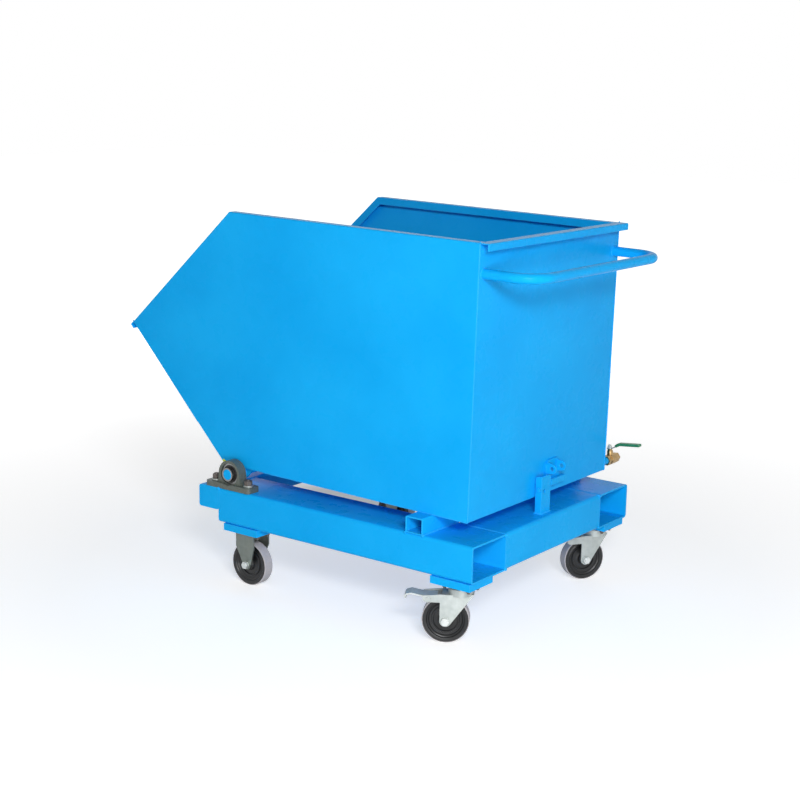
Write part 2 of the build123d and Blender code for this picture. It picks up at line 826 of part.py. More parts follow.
with BuildPart() as valve_body:
    with BuildSketch(flow_plane.offset(valve_start)):
        RegularPolygon(valve_inlet_flats / 2, 6, major_radius=False)
    extrude(amount=valve_inlet_length)
    with BuildSketch(flow_plane.offset(chamber_start)):
        Circle(valve_body_radius)
    extrude(amount=cap_start - chamber_start)
    with BuildSketch(stem_plane):
        Circle(valve_neck_radius)
    extrude(amount=valve_neck_height)
    with BuildSketch(flow_plane.offset(valve_start)):
        Circle(nipple_pipe_radius + fit_gap)
    extrude(amount=valve_socket_depth, mode=Mode.SUBTRACT)
    with BuildSketch(flow_plane.offset(valve_start)):
        Circle(valve_port_radius)
    extrude(amount=valve_inlet_length, mode=Mode.SUBTRACT)
    with BuildSketch(flow_plane.offset(chamber_start)):
        Circle(valve_chamber_radius)
    extrude(amount=cap_start - chamber_start, mode=Mode.SUBTRACT)
    with BuildSketch(stem_plane):
        Circle(stem_radius + running_gap)
    extrude(amount=valve_neck_height, mode=Mode.SUBTRACT)
save(valve_body, "valve_body")

with BuildPart() as valve_end_cap:
    with BuildSketch(flow_plane.offset(chamber_end)):
        Circle(valve_chamber_radius - fit_gap)
    extrude(amount=valve_cap_spigot)
    with BuildSketch(flow_plane.offset(cap_start)):
        RegularPolygon(valve_cap_flats / 2, 6, major_radius=False)
    extrude(amount=valve_cap_length)
    with BuildSketch(flow_plane.offset(chamber_end)):
        Circle(valve_port_radius)
    extrude(amount=valve_cap_spigot + valve_cap_length, mode=Mode.SUBTRACT)
    with BuildSketch(flow_plane.offset(cap_start + valve_cap_length)):
        Circle(valve_thread_radius)
    extrude(amount=-valve_thread_length, mode=Mode.SUBTRACT)
save(valve_end_cap, "valve_end_cap")

with BuildPart() as valve_seats:
    with BuildSketch(flow_plane.offset(chamber_start)):
        Circle(valve_chamber_radius - fit_gap)
        Circle(valve_port_radius, mode=Mode.SUBTRACT)
    extrude(amount=valve_chamber_length)
    with Locations(stem_plane):
        Sphere(valve_ball_radius + running_gap, mode=Mode.SUBTRACT)
        Box(
            2 * valve_body_radius,
            valve_ball_radius,
            2 * valve_body_radius,
            mode=Mode.SUBTRACT,
        )
save(valve_seats, "valve_seats")

# Ball with its port across the flow (shut) and a slot for the stem's tang
tang_bottom = valve_ball_radius - stem_tang_depth
with BuildPart() as valve_ball:
    with Locations(stem_plane):
        Sphere(valve_ball_radius)
    with BuildSketch(Plane(origin=ball_centre, z_dir=lever_dir)):
        Circle(valve_port_radius)
    extrude(amount=2 * valve_ball_radius, both=True, mode=Mode.SUBTRACT)
    with BuildSketch(stem_plane.offset(tang_bottom)):
        Rectangle(4 * valve_ball_radius, stem_tang_width + 2 * running_gap)
    extrude(amount=valve_ball_radius, mode=Mode.SUBTRACT)
save(valve_ball, "valve_ball")

lever_bottom = valve_neck_height + gland_height + rest_gap
lever_top = lever_bottom + lever_thickness
nut_top_height = lever_top + lever_nut_height
with BuildPart() as valve_stem:
    with BuildSketch(stem_plane.offset(valve_ball_radius)):
        Circle(stem_radius)
    extrude(amount=nut_top_height + stem_tail - valve_ball_radius)
    with BuildSketch(stem_plane.offset(tang_bottom + running_gap)):
        Rectangle(2 * stem_radius - stem_tang_width, stem_tang_width)
    extrude(amount=stem_tang_depth)
save(valve_stem, "valve_stem")

with BuildPart() as valve_gland_nut:
    with BuildSketch(stem_plane.offset(valve_neck_height)):
        RegularPolygon(gland_flats / 2, 6, major_radius=False)
        Circle(stem_radius + running_gap, mode=Mode.SUBTRACT)
    extrude(amount=gland_height)
save(valve_gland_nut, "valve_gland_nut")

# Lever: a flat strip, round at the stem, cranked up and then straight
lever_middle = lever_bottom + lever_thickness / 2
lever_high = lever_middle + lever_rise
with BuildPart() as valve_lever:
    with BuildSketch(lever_plane):
        with BuildLine():
            FilletPolyline(
                (-lever_root_radius, lever_middle),
                (lever_bend_start, lever_middle),
                (lever_bend_end, lever_high),
                (lever_length, lever_high),
                radius=lever_bend,
            )
        trace(line_width=lever_thickness)
    extrude(amount=lever_root_radius, both=True)
    with BuildSketch(stem_plane):
        Circle(lever_root_radius)
        with Locations((lever_length / 2, 0)):
            Rectangle(lever_length, lever_width)
    extrude(amount=2 * nut_top_height, mode=Mode.INTERSECT)
    with BuildSketch(stem_plane):
        Circle(stem_radius + fit_gap)
    extrude(amount=lever_top, mode=Mode.SUBTRACT)
save(valve_lever, "valve_lever")

with BuildPart() as lever_nut:
    with BuildSketch(stem_plane.offset(lever_top)):
        RegularPolygon(lever_nut_flats / 2, 6, major_radius=False)
        Circle(stem_radius + fit_gap, mode=Mode.SUBTRACT)
    extrude(amount=lever_nut_height)
save(lever_nut, "lever_nut")

# Dipped sleeve over the lever, from the middle of its crank to past its end
sleeve_start = ((lever_bend_start + lever_bend_end) / 2, (lever_middle + lever_high) / 2)
with BuildPart() as lever_sleeve:
    for end, height, width, mode in (
        (lever_length + sleeve_tip, sleeve_height, sleeve_width, Mode.ADD),
        (lever_length + fit_gap, lever_thickness + 2 * fit_gap, lever_width + 2 * fit_gap, Mode.SUBTRACT),
    ):
        with BuildSketch(lever_plane):
            with BuildLine():
                FilletPolyline(
                    sleeve_start,
                    (lever_bend_end, lever_high),
                    (end, lever_high),
                    radius=lever_bend,
                )
            trace(line_width=height)
        extrude(amount=width / 2, both=True, mode=mode)
        if mode == Mode.ADD:
            fillet(lever_sleeve.edges(), sleeve_round)
save(lever_sleeve, "lever_sleeve")

# Front rigid forks: plate with two tapered legs, spread at the top and straight again at the axle
leg_middle = (leg_inner + leg_outer) / 2
for side, (side_plane, wheel_plane) in front_casters.items():
    with BuildPart() as front_fork:
        with BuildSketch(Plane(side_plane.origin, x_dir=side_plane.z_dir, z_dir=-side_plane.x_dir)):
            for sign in sides.values():
                with BuildLine():
                    FilletPolyline(
                        (sign * (leg_middle + rigid_leg_spread), plate_bottom),
                        (sign * (leg_middle + rigid_leg_spread), plate_bottom - rigid_leg_straight),
                        (sign * leg_middle, wheel_radius + rigid_leg_end_radius),
                        (sign * leg_middle, wheel_radius - rigid_leg_end_radius),
                        radius=rigid_leg_bend,
                    )
                trace(line_width=fork_leg_thickness)
        extrude(amount=rigid_leg_top_width / 2, both=True)
        with BuildSketch(side_plane):
            with Locations((0, plate_bottom)):
                Rectangle(rigid_leg_top_width, rigid_leg_straight, align=(Align.CENTER, Align.MAX))
            with Locations((0, wheel_radius)):
                Circle(rigid_leg_end_radius)
            make_hull()
            with Locations((0, wheel_radius)):
                Circle(axle_radius + fit_gap, mode=Mode.SUBTRACT)
        extrude(amount=caster_plate_width / 2, both=True, mode=Mode.INTERSECT)
        with BuildSketch(Plane.XY.offset(plate_bottom)):
            with Locations((front_pad_x, pad_y[side])):
                RectangleRounded(caster_plate_length, caster_plate_width, caster_plate_corner)
                with GridLocations(plate_hole_pitch_x, plate_hole_pitch_y, 2, 2):
                    Circle(plate_bolt_radius + running_gap, mode=Mode.SUBTRACT)
        extrude(amount=caster_plate_thickness)
    save(front_fork, f"front_fork_{side}")

# Rear top plates, each with the fixed upper race ring under it
race_ball_z = crown_top + cup_floor + race_ball_radius
ring_bottom = race_ball_z + race_ball_radius / 2
with BuildPart() as swivel_top_plates:
    for axis_plane in rear_axes:
        with BuildSketch(axis_plane.offset(plate_bottom)):
            RectangleRounded(caster_plate_length, caster_plate_width, caster_plate_corner)
            with GridLocations(plate_hole_pitch_x, plate_hole_pitch_y, 2, 2):
                Circle(plate_bolt_radius + running_gap, mode=Mode.SUBTRACT)
            Circle(king_pin_radius + fit_gap, mode=Mode.SUBTRACT)
        extrude(amount=caster_plate_thickness)
        with BuildSketch(axis_plane.offset(ring_bottom)):
            Circle(cup_radius - cup_wall - race_ring_gap)
            Circle(race_ring_inner, mode=Mode.SUBTRACT)
        extrude(amount=plate_bottom - ring_bottom)
        with Locations(axis_plane.offset(race_ball_z)):
            Torus(race_circle_radius, race_ball_radius + running_gap, mode=Mode.SUBTRACT)
save(swivel_top_plates, "swivel_top_plates")

# King pins, riveted in the top plates and headed under the yoke crowns
with BuildPart() as king_pins:
    for axis_plane in rear_axes:
        with BuildSketch(axis_plane.offset(crown_bottom - head_gap)):
            Circle(king_pin_radius)
        extrude(amount=caster_height - crown_bottom + head_gap)
        with BuildSketch(axis_plane.offset(crown_bottom - head_gap)):
            Circle(king_pin_head_radius)
        extrude(amount=-king_pin_head)
save(king_pins, "king_pins")

with BuildPart() as swivel_balls:
    for axis_plane in rear_axes:
        with Locations(axis_plane.offset(race_ball_z)):
            with PolarLocations(race_circle_radius, race_ball_count):
                Sphere(race_ball_radius)
save(swivel_balls, "swivel_balls")

# Rear swivel yokes: crown with a race cup on top, two legs that close in towards the lead end,
# and two wings beside the wheel
wing_bottom = crown_top - wing_height
yoke_back = caster_trail + yoke_end_radius


def yoke_plan(half, lead):
    """Corners of the yoke seen from above, for a half width at the legs and a reach ahead of the king pin."""
    lead_half = half - (yoke_taper_start + lead) * tan(radians(yoke_taper_angle))
    near = [(wing_end, half), (yoke_taper_start, half), (-lead, lead_half)]
    return near + [(along, -across) for along, across in reversed(near)]


for (side, (side_plane, wheel_plane)), axis_plane in zip(rear_casters.items(), rear_axes):
    plan = Plane(side_plane.origin, x_dir=side_plane.x_dir)
    with BuildPart() as swivel_yoke:
        with BuildSketch(side_plane) as yoke_outline:
            with BuildLine():
                Line((-yoke_lead, crown_top), (yoke_back, crown_top))
            with Locations((caster_trail, wheel_radius)):
                Circle(yoke_end_radius)
            make_hull()
            Polygon(
                (caster_trail, wing_bottom),
                (wing_end, wing_bottom),
                (wing_end, crown_top - wing_drop),
                (yoke_back, crown_top),
                (caster_trail, crown_top),
                align=None,
            )
            low_corners = yoke_outline.vertices().filter_by(lambda v: abs(v.Y - wing_bottom) < fit_gap)
            fillet(low_corners.sort_by(Axis.X)[-1], wing_round)
            fillet(low_corners.sort_by(Axis.X)[0], wing_inner_round)
            with Locations((caster_trail, wheel_radius)):
                Circle(axle_radius + fit_gap, mode=Mode.SUBTRACT)
            if side == "left":
                with Locations((brake_pin_along, brake_pin_height)):
                    Circle(brake_pin_radius + fit_gap, mode=Mode.SUBTRACT)
        extrude(amount=leg_outer, both=True)
        with BuildSketch(plan):
            Polygon(*yoke_plan(leg_outer, yoke_lead), align=None)
        extrude(amount=crown_top, mode=Mode.INTERSECT)
        with BuildSketch(plan):
            Polygon(*yoke_plan(leg_inner, yoke_lead + fork_leg_thickness), align=None)
        extrude(amount=crown_bottom, mode=Mode.SUBTRACT)
        with BuildSketch(plan):
            with Locations((crown_end, 0)):
                Rectangle(wing_end - crown_end, 2 * leg_inner, align=(Align.MIN, Align.CENTER))
        extrude(amount=crown_top, mode=Mode.SUBTRACT)
        with BuildSketch(axis_plane.offset(crown_bottom)):
            Circle(cup_radius)
        extrude(amount=crown_thickness + cup_height)
        with BuildSketch(axis_plane.offset(crown_top + cup_floor)):
            Circle(cup_radius - cup_wall)
        extrude(amount=cup_height, mode=Mode.SUBTRACT)
        with BuildSketch(axis_plane.offset(crown_bottom)):
            Circle(king_pin_radius + running_gap)
        extrude(amount=crown_thickness + cup_floor, mode=Mode.SUBTRACT)
        with Locations(axis_plane.offset(race_ball_z)):
            Torus(race_circle_radius, race_ball_radius + running_gap, mode=Mode.SUBTRACT)
    save(swivel_yoke, f"swivel_yoke_{side}")

# Brake pin through the wings, riveted at both ends
brake_side = rear_casters["left"][0]
with BuildPart() as brake_pin:
    with BuildSketch(brake_side):
        with Locations((brake_pin_along, brake_pin_height)):
            Circle(brake_pin_radius)
    extrude(amount=leg_outer, both=True)
    for offset in (leg_outer, -leg_outer - brake_pin_head):
        with BuildSketch(brake_side.offset(offset)):
            with Locations((brake_pin_along, brake_pin_height)):
                Circle(brake_pin_head_radius)
        extrude(amount=brake_pin_head)
save(brake_pin, "brake_pin")

# Brake pedal: pressed plate over the wings, with a hub on the pin, a flat shoe facing the wheel
# and a foot plate that curls down at its end. The shoe is drawn on the wheel as when the pedal is
# pressed, in a plane turned back about the pin.
pedal_middle = pedal_height + pedal_thickness / 2
released = radians(brake_travel)
shoe_plane = Plane(
    origin=brake_side.from_local_coords((brake_pin_along, brake_pin_height, 0)),
    x_dir=brake_side.x_dir * cos(released) + brake_side.y_dir * sin(released),
    z_dir=brake_side.z_dir,
)
wheel_from_pin = (caster_trail - brake_pin_along, wheel_radius - brake_pin_height)
with BuildPart() as brake_pedal:
    with BuildSketch(brake_side):
        with Locations((pedal_root, pedal_height)):
            Rectangle(pedal_neck - pedal_root, pedal_thickness, align=(Align.MIN, Align.MIN))
    extrude(amount=brake_width / 2, both=True)
    with BuildSketch(brake_side):
        with BuildLine():
            FilletPolyline(
                (pedal_neck - pedal_thickness, pedal_middle),
                (pedal_neck + pedal_thickness, pedal_middle),
                (pedal_crest, pedal_middle + pedal_rise),
                (pedal_end, pedal_middle),
                (pedal_end - pedal_thickness, pedal_middle - pedal_drop),
                radius=pedal_bend,
            )
        trace(line_width=pedal_thickness)
    extrude(amount=pedal_width / 2, both=True)
    with BuildSketch(brake_side):
        with BuildLine():
            Line(
                (brake_pin_along - brake_hub_radius, pedal_height),
                (brake_pin_along + brake_hub_radius, pedal_height),
            )
        with Locations((brake_pin_along, brake_pin_height)):
            Circle(brake_hub_radius)
        make_hull()
    extrude(amount=brake_width / 2, both=True)
    with BuildSketch(shoe_plane):
        with Locations(wheel_from_pin):
            with PolarLocations(wheel_radius + shoe_clearance, 1, start_angle=shoe_angle):
                Rectangle(shoe_thickness, shoe_length, align=(Align.MIN, Align.CENTER))
    extrude(amount=brake_width / 2, both=True)
    with BuildSketch(brake_side):
        with Locations((brake_pin_along, brake_pin_height)):
            Circle(brake_pin_radius + running_gap)
    extrude(amount=brake_width, both=True, mode=Mode.SUBTRACT)
save(brake_pedal, "brake_pedal")

# Axle bolts with their sleeves and nuts
axle_groups = {
    "front_axles": [wheel_plane for side_plane, wheel_plane in front_casters.values()],
    "rear_axle_left": [rear_casters["left"][1]],
    "rear_axle_right": [rear_casters["right"][1]],
}
for name, wheel_planes in axle_groups.items():
    with BuildPart() as axle:
        for across in wheel_planes:
            with BuildSketch(across.offset(-leg_outer)):
                RegularPolygon(axle_flats / 2, 6, major_radius=False)
            extrude(amount=-axle_head)
            with BuildSketch(across.offset(-leg_outer)):
                Circle(axle_radius)
            extrude(amount=2 * leg_outer + axle_nut + axle_tail)
            with BuildSketch(across.offset(-leg_inner)):
                Circle(sleeve_radius)
                Circle(axle_radius + fit_gap, mode=Mode.SUBTRACT)
            extrude(amount=2 * leg_inner)
            with BuildSketch(across.offset(leg_outer)):
                RegularPolygon(axle_flats / 2, 6, major_radius=False)
                Circle(axle_radius + fit_gap, mode=Mode.SUBTRACT)
            extrude(amount=axle_nut)
    save(axle, name)

# Wheels: moulded core with a ribbed web, and a tread around it
wheels = {f"front_{side}": planes[1] for side, planes in front_casters.items()}
wheels.update({f"rear_{side}": planes[1] for side, planes in rear_casters.items()})
rim_inner = core_radius - rim_depth
half_profile = [
    (sleeve_radius + running_gap, hub_length / 2),
    (hub_radius, hub_length / 2),
    (hub_radius + web_rib_height, web_half_thickness),
    (web_rib_radius, web_half_thickness),
    (web_rib_radius + web_rib_slope, web_half_thickness + web_rib_height),
    (web_rib_radius + web_rib_width, web_half_thickness + web_rib_height),
    (web_rib_radius + web_rib_width + web_rib_slope, web_half_thickness),
    (rim_inner, web_half_thickness),
    (rim_inner + web_rib_height, wheel_width / 2),
    (core_radius, wheel_width / 2),
]
core_profile = half_profile + [(radius, -reach) for radius, reach in reversed(half_profile)]
for name, across in wheels.items():
    radial_plane = Plane(origin=across.origin, x_dir=across.x_dir, z_dir=across.x_dir.cross(across.z_dir))
    axle_line = Axis(across.origin, across.z_dir)
    with BuildPart() as wheel_core:
        with BuildSketch(radial_plane):
            Polygon(*core_profile, align=None)
        revolve(axis=axle_line)
    save(wheel_core, f"wheel_core_{name}")
    with BuildPart() as wheel_tread:
        with BuildSketch(radial_plane) as tread_section:
            with Locations((core_radius + fit_gap, 0)):
                Rectangle(tread_thickness - fit_gap, wheel_width, align=(Align.MIN, Align.CENTER))
            fillet(tread_section.vertices().sort_by(Axis.X)[-2:], tread_round)
        revolve(axis=axle_line)
    save(wheel_tread, f"wheel_tread_{name}")
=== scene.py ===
import json
from math import cos, pi, radians, sin

import bmesh
import bpy
from mathutils import Matrix, Vector

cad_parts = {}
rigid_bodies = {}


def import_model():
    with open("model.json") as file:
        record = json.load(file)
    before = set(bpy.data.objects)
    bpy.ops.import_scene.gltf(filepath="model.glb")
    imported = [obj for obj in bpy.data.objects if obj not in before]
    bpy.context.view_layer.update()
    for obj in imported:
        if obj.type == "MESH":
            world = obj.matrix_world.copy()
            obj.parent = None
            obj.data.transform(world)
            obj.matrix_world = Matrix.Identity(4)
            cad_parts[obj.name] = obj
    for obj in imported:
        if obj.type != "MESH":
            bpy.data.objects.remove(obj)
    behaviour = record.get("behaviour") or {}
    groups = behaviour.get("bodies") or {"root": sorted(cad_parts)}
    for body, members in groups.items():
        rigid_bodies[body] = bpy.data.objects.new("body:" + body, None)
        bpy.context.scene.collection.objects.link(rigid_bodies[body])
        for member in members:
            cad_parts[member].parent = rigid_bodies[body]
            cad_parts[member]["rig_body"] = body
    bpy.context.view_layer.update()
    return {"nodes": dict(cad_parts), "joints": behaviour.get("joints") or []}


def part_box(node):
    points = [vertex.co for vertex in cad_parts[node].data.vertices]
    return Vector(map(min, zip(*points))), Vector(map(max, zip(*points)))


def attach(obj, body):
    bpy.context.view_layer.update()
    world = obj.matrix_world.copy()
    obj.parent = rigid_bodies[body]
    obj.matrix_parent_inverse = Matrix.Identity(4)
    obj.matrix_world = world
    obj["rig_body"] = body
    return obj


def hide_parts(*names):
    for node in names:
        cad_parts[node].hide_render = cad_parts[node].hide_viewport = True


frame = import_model()
scene = bpy.context.scene
mm = 0.001

# Chassis frame: two fork pockets of rectangular steel tube, with cross beams at the front and the rear
# and a smaller tube across the top that the hopper rests on. The tubes are sawn, welded and then sprayed.
frame_tubes = (
    "fork_pocket_left", "fork_pocket_right", "front_beam", "front_beam_end_plates", "rear_beam",
    "hopper_rest_tube",
)
tube_edge = 1.0 * mm
same_point = 0.002 * mm
flat_turn = radians(0.2)
edge_turn = radians(30)
smooth_turn = radians(38)


def linear(colour):
    """Linear RGBA from an sRGB hex colour."""
    shares = [int(colour[i:i + 2], 16) / 255 for i in (1, 3, 5)]
    return [s / 12.92 if s <= 0.04045 else ((s + 0.055) / 1.055) ** 2.4 for s in shares] + [1.0]


def feed(node, inputs):
    """Gives a node its inputs: a socket is linked, and anything else is set as a value."""
    for name, value in inputs.items():
        if isinstance(name, int):
            socket = node.inputs[name]
        else:
            socket = next(s for s in node.inputs if s.enabled and s.name == name)
        if isinstance(value, bpy.types.NodeSocket):
            node.id_data.links.new(value, socket)
        else:
            socket.default_value = value


def add_node(tree, kind, inputs=None, output=None, **settings):
    """Adds a node with its settings and inputs, and gives back its first output or the named one."""
    made = tree.nodes.new(kind)
    for name, value in settings.items():
        setattr(made, name, value)
    feed(made, inputs or {})
    shown = [s for s in made.outputs if s.enabled and output in (None, s.name)]
    return shown[0] if shown else None


def new_material(name):
    """A node material and its tree, Principled shader and object coordinates."""
    material = bpy.data.materials.new(name)
    material.use_nodes = True
    tree = material.node_tree
    coords = add_node(tree, "ShaderNodeTexCoord", output="Object")
    return material, tree, tree.nodes["Principled BSDF"], coords


# Gloss enamel on steel: one sprayed coat, so the colour is even with slow drifts where the passes overlap,
# the gloss has a faint orange peel, and the coat is a little paler along the edges, partly where it is thin
# and partly as a painted highlight for the light the edges catch.
enamel, tree, shader, coords = new_material("blue_enamel_on_steel")
spray_pass = 280 * mm
orange_peel = 4 * mm  # real peel is about 1.5 mm; drawn coarser so that it shows
gloss_patch = 45 * mm
pale_edge_width = 2.2 * mm
drift = add_node(tree, "ShaderNodeTexNoise", {"Vector": coords, "Scale": 1 / spray_pass, "Detail": 3.0})
drift_range = add_node(tree, "ShaderNodeMapRange", {"Value": drift, "From Min": 0.35, "From Max": 0.65})
sprayed = add_node(tree, "ShaderNodeMix", {
    "Factor": drift_range, "A": linear("#0eabf5"), "B": linear("#16b3fb")}, data_type="RGBA")
rounded = add_node(tree, "ShaderNodeBevel", {"Radius": pale_edge_width}, samples=4)
surface = add_node(tree, "ShaderNodeNewGeometry", output="Normal")
facing = add_node(tree, "ShaderNodeVectorMath", {0: rounded, 1: surface}, operation="DOT_PRODUCT")
# Painted highlight: the pale tint along the edges is partly thin paint and partly the light the edges
# catch.
thin_and_lit_edge = add_node(tree, "ShaderNodeMapRange", {
    "Value": facing, "From Min": 0.995, "From Max": 0.86, "To Max": 0.4})
coat = add_node(tree, "ShaderNodeMix", {
    "Factor": thin_and_lit_edge, "A": sprayed, "B": linear("#58bdfa")}, data_type="RGBA")
gloss = add_node(tree, "ShaderNodeTexNoise", {"Vector": coords, "Scale": 1 / gloss_patch, "Detail": 4.0})
gloss_range = add_node(tree, "ShaderNodeMapRange", {"Value": gloss, "To Min": 0.22, "To Max": 0.34})
peel = add_node(tree, "ShaderNodeTexNoise", {"Vector": coords, "Scale": 1 / orange_peel, "Detail": 1.0})
peel_bump = add_node(tree, "ShaderNodeBump", {"Height": peel, "Strength": 0.12, "Distance": 0.25 * mm})
feed(shader, {
    "Base Color": coat, "Roughness": gloss_range, "Normal": peel_bump,
    "IOR": 1.45, "Specular IOR Level": 0.06})


def add_piece(name, mesh, material, body):
    """A finished piece on a body: smooth where its faces run on, sharp where they turn."""
    mesh.materials.clear()
    mesh.materials.append(material)
    mesh.polygons.foreach_set("use_smooth", [True] * len(mesh.polygons))
    mesh.set_sharp_from_angle(angle=smooth_turn)
    piece = bpy.data.objects.new(name, mesh)
    scene.collection.objects.link(piece)
    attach(piece, body)
    return piece


def mesh_of(shape, name):
    """A new mesh with the faces of a bmesh, which is then freed."""
    mesh = bpy.data.meshes.new(name)
    shape.to_mesh(mesh)
    shape.free()
    return mesh


def break_edges(material, width, *names):
    """Puts a copy of each CAD piece, with its sharp edges broken by a width, in that piece's place."""
    for name in names:
        node = frame["nodes"][name]
        shape = bmesh.new()
        shape.from_mesh(node.data)
        bmesh.ops.remove_doubles(shape, verts=shape.verts, dist=same_point)
        bmesh.ops.dissolve_limit(shape, angle_limit=flat_turn, verts=shape.verts, edges=shape.edges)
        sharp = [e for e in shape.edges if len(e.link_faces) == 2 and e.calc_face_angle() > edge_turn]
        bmesh.ops.bevel(
            shape, geom=sharp, offset=width, segments=2, profile=0.5, affect="EDGES", clamp_overlap=True)
        mesh = mesh_of(shape, name + "_finished")
        piece = add_piece(mesh.name, mesh, material, node["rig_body"])
        piece.modifiers.new("flat_faces", "WEIGHTED_NORMAL").keep_sharp = True
        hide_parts(name)


break_edges(enamel, tube_edge, *frame_tubes)

# Latch post and caster pads: an upright of steel angle on the rear beam, with a hole and a stub for locking
# the hopper, and four thick plates under the pockets for the casters. All are welded on and sprayed.
pad_edge = 1.2 * mm
break_edges(enamel, pad_edge, "latch_post", "caster_pads")

# Chassis welds: hand-laid beads with a ripple for each dip of the rod, painted over with the frame.
# They run where the beams meet the pockets, along the feet of the rest tube and at the latch post's foot.
bead_pitch = 4.2 * mm
bead_seed = 7
ripple_least = (0.82, 0.82, 0.85)
ripple_most = (1.1, 1.1, 1.05)
groove_bead = 5 * mm
groove_sink = 4 * mm
foot_bead = 3.5 * mm
stub_length = 8 * mm
sides = (("left", -1), ("right", 1))


def weld_tree():
    """Ripples of a weld bead laid along paths, each path with its own bead radius."""
    tree = bpy.data.node_groups.new("weld_bead", "GeometryNodeTree")
    for name, kind in (("Paths", "Geometry"), ("Pitch", "Float"), ("Seed", "Int"), ("Finish", "Material")):
        tree.interface.new_socket(name, in_out="INPUT", socket_type="NodeSocket" + kind)
    tree.interface.new_socket("Bead", in_out="OUTPUT", socket_type="NodeSocketGeometry")
    given = add_node(tree, "NodeGroupInput").node.outputs
    radius = add_node(tree, "GeometryNodeInputNamedAttribute", {"Name": "bead_radius"}, data_type="FLOAT")
    path = add_node(tree, "GeometryNodeMeshToCurve", {"Mesh": given["Paths"]})
    steps = add_node(tree, "GeometryNodeResampleCurve", {
        "Curve": path, "Length": given["Pitch"]}, mode="LENGTH")
    tangent = add_node(tree, "GeometryNodeInputTangent")
    turn = add_node(tree, "FunctionNodeAlignRotationToVector", {"Vector": tangent}, axis="Z")
    uneven = add_node(tree, "FunctionNodeRandomValue", {
        "Min": ripple_least, "Max": ripple_most, "Seed": given["Seed"]}, data_type="FLOAT_VECTOR")
    size = add_node(tree, "ShaderNodeCombineXYZ", {"X": radius, "Y": radius, "Z": given["Pitch"]})
    scale = add_node(tree, "ShaderNodeVectorMath", {0: size, 1: uneven}, operation="MULTIPLY")
    ripple = add_node(tree, "GeometryNodeMeshUVSphere", {"Segments": 8, "Rings": 4, "Radius": 1.0})
    laid = add_node(tree, "GeometryNodeInstanceOnPoints", {
        "Points": steps, "Instance": ripple, "Rotation": turn, "Scale": scale})
    whole = add_node(tree, "GeometryNodeRealizeInstances", {"Geometry": laid})
    painted = add_node(tree, "GeometryNodeSetMaterial", {"Geometry": whole, "Material": given["Finish"]})
    add_node(tree, "NodeGroupOutput", {"Bead": painted})
    return tree


beads = weld_tree()


def weld(name, seams, body):
    """One piece for all the welds on a body. A seam is (points, bead radius, closed)."""
    points, edges, radii = [], [], []
    for path, radius, closed in seams:
        first = len(points)
        points += [tuple(p) for p in path]
        radii += [radius] * len(path)
        edges += [(i, i + 1) for i in range(first, len(points) - 1)]
        if closed:
            edges.append((len(points) - 1, first))
    mesh = bpy.data.meshes.new(name)
    mesh.from_pydata(points, edges, [])
    mesh.attributes.new("bead_radius", "FLOAT", "POINT").data.foreach_set("value", radii)
    paths = bpy.data.objects.new(name + "_paths", mesh)
    scene.collection.objects.link(paths)
    modifier = paths.modifiers.new("beads", "NODES")
    modifier.node_group = beads
    values = {"Pitch": bead_pitch, "Seed": bead_seed, "Finish": enamel}
    for item in beads.interface.items_tree:
        if item.name in values:
            modifier[item.identifier] = values[item.name]
    laid = bpy.data.meshes.new_from_object(paths.evaluated_get(bpy.context.evaluated_depsgraph_get()))
    laid.name = name
    bpy.data.objects.remove(paths)
    add_piece(name, laid, enamel, body)


def run(bead, *points):
    """An open seam along points, with its bead radius."""
    return [Vector(p) for p in points], bead, False


chassis_seams = []
beam_low, beam_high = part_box("rear_beam")
nose_low, nose_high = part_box("front_beam")
rest_low, rest_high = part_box("hopper_rest_tube")
post_low, post_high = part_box("latch_post")
nose_top = nose_high.z - groove_sink / 2
for side, sign in sides:
    low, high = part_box("fork_pocket_" + side)
    inner = high.y if sign < 0 else low.y
    outer = low.y if sign < 0 else high.y
    groove_y = inner + sign * groove_sink / 2
    for z in (low.z + groove_sink, high.z - groove_sink):
        chassis_seams.append(run(groove_bead, (beam_low.x, groove_y, z), (beam_high.x, groove_y, z)))
    chassis_seams.append(run(foot_bead, (beam_low.x, inner, low.z), (beam_low.x, inner, high.z)))
    chassis_seams.append(run(groove_bead, (low.x, inner, nose_top), (low.x, outer, nose_top)))
    chassis_seams.append(run(foot_bead, (low.x, inner, nose_low.z), (low.x, inner, nose_top)))
    for x in (rest_low.x, rest_high.x):
        chassis_seams.append(run(foot_bead, (x, inner, high.z), (x, outer, high.z)))
post_face = post_low.y + stub_length
post_foot = [(post_low.x, post_face), (post_high.x, post_face), (post_high.x, post_high.y)]
chassis_seams.append(run(foot_bead, *[(x, y, beam_high.z) for x, y in post_foot]))
weld("chassis_welds", chassis_seams, "chassis")

# Ground seams: the welds that close the outer sides, where the front beam's end plates meet the pockets.
# They are ground flush before spraying, so each is a strip of weld metal that fills the seam and fades
# into the sides.
seam_half = 5 * mm
seam_proud = 0.12 * mm
seam_sink = 0.6 * mm
seam_profile = [
    (-seam_half, 0.0), (-seam_half / 2, seam_proud), (seam_half / 2, seam_proud), (seam_half, 0.0),
    (seam_half, -seam_sink), (-seam_half, -seam_sink),
]


def join_sections(shape, first, second):
    """Faces between two sections with the same closed profile."""
    for i in range(len(first)):
        j = (i + 1) % len(first)
        shape.faces.new((first[i], first[j], second[j], second[i]))


for side, sign in sides:
    low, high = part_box("fork_pocket_" + side)
    outer = low.y if sign < 0 else high.y
    shape = bmesh.new()
    lower, upper = [
        [shape.verts.new((low.x + along, outer + sign * out, z)) for along, out in seam_profile]
        for z in (nose_low.z + seam_half, nose_high.z - seam_half)
    ]
    join_sections(shape, lower, upper)
    shape.faces.new(lower)
    shape.faces.new(upper)
    bmesh.ops.recalc_face_normals(shape, faces=shape.faces)
    mesh = mesh_of(shape, "ground_seam_" + side)
    add_piece(mesh.name, mesh, enamel, "chassis")

